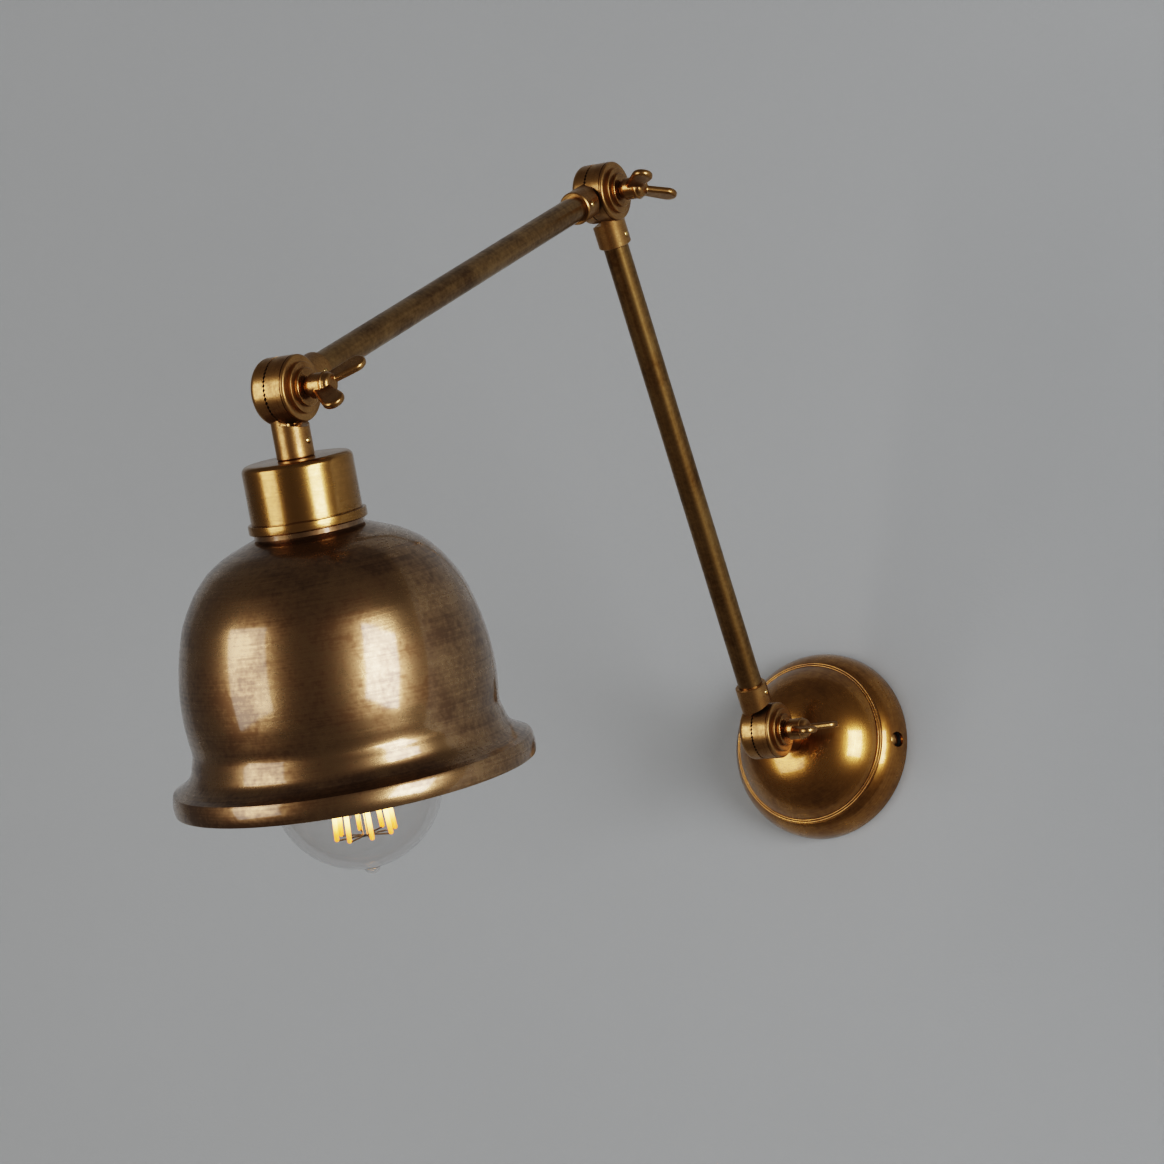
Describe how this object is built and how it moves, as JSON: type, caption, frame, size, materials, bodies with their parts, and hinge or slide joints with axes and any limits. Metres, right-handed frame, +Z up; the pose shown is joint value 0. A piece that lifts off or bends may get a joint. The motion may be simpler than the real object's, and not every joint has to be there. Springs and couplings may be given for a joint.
{
  "type": "swing arm wall sconce",
  "caption": "Wall lamp with a round rose, two tubular arms on wing-nut knuckles, and a bell-shaped spun shade on a cylindrical cup with a globe bulb.",
  "frame": {"origin": "centre of the wall rose's back face, on the wall and midway between the two wall screws", "axes": "+Y into the wall, -Y out into the room, +Z up, +X along the pivots towards the wing nuts"},
  "size_m": [0.1596, 0.5246, 0.3699],
  "materials": {
    "aged_brass": "aged lacquered brass, satin gloss",
    "turned_brass": "lathe-turned aged brass",
    "patinated_brass": "mottled brown patina under a satin gloss",
    "brass_tube": "drawn brass tube with fine lengthwise marks",
    "plain_brass": "bright plain brass",
    "screw_brass": "darkened brass",
    "zinc_plated_steel": "zinc plated",
    "connector_plastic": "matt natural",
    "black_flex": "matt black sheath",
    "core_insulation": "smooth insulation",
    "lampholder_phenolic": "moulded black",
    "porcelain": "glazed white",
    "nickel_cap": "nickel plated",
    "support_wire": "bare wire",
    "clear_glass": "clear blown glass",
    "glowing_filament": "warm lit stick"
  },
  "bodies": {
    "wall_mount": {"rose_cover": "aged_brass", "wall_bracket": "zinc_plated_steel", "rose_side_screws": "screw_brass", "terminal_block": "connector_plastic", "earth_screw": "plain_brass", "stem_nipple": "aged_brass", "stem_washer": "aged_brass", "stem_nut": "aged_brass", "base_knuckle": "aged_brass", "base_grub_screw": "screw_brass", "base_thrust_washer": "aged_brass", "wall_flex": "black_flex", "wall_flex_cores": "core_insulation"},
    "lower_arm": {"lower_arm_foot": "aged_brass", "lower_arm_tube": "brass_tube", "lower_arm_head": "aged_brass", "lower_arm_grub_screws": "screw_brass", "lower_arm_flex": "black_flex", "base_pivot_bolt": "aged_brass", "elbow_thrust_washer": "aged_brass"},
    "upper_arm": {"upper_arm_foot": "aged_brass", "upper_arm_tube": "brass_tube", "upper_arm_head": "aged_brass", "upper_arm_grub_screws": "screw_brass", "upper_arm_flex": "black_flex", "elbow_pivot_bolt": "aged_brass", "head_thrust_washer": "aged_brass"},
    "head": {"head_knuckle": "aged_brass", "head_grub_screw": "screw_brass", "head_pivot_bolt": "aged_brass", "head_nipple": "aged_brass", "head_nut": "aged_brass", "head_flex": "black_flex", "cup_cover": "turned_brass", "lampholder_cap": "lampholder_phenolic", "lampholder_skirt": "lampholder_phenolic", "lampholder_insert": "porcelain", "lampholder_screw_shell": "plain_brass", "lampholder_contact": "plain_brass", "shade_ring": "aged_brass", "shade": "patinated_brass", "bulb_contact": "nickel_cap", "bulb_cap": "nickel_cap", "bulb_glass": "clear_glass", "bulb_stem": "clear_glass", "bulb_filaments": "glowing_filament", "filament_supports": "support_wire"},
    "base_nut": {"base_wing_nut": "aged_brass"},
    "elbow_nut": {"elbow_wing_nut": "aged_brass"},
    "head_nut_body": {"head_wing_nut": "aged_brass"}
  },
  "joints": [
    {"name": "base_pivot", "type": "hinge", "parent": "wall_mount", "child": "lower_arm", "pos_m": [0, -0.067, 0], "axis": [1, 0, 0], "range_deg": [-30, 60]},
    {"name": "elbow_pivot", "type": "hinge", "parent": "lower_arm", "child": "upper_arm", "pos_m": [0, -0.24065, 0.24708], "axis": [1, 0, 0], "range_deg": [-80, 26]},
    {"name": "head_pivot", "type": "hinge", "parent": "upper_arm", "child": "head", "pos_m": [0, -0.50006, 0.09244], "axis": [1, 0, 0], "range_deg": [-75, 31]},
    {"name": "base_nut_turn", "type": "hinge", "parent": "lower_arm", "child": "base_nut", "pos_m": [0, -0.067, 0], "axis": [1, 0, 0], "continuous": true},
    {"name": "elbow_nut_turn", "type": "hinge", "parent": "upper_arm", "child": "elbow_nut", "pos_m": [0, -0.24065, 0.24708], "axis": [1, 0, 0], "continuous": true},
    {"name": "head_nut_turn", "type": "hinge", "parent": "head", "child": "head_nut_body", "pos_m": [0, -0.50006, 0.09244], "axis": [1, 0, 0], "continuous": true}
  ]
}
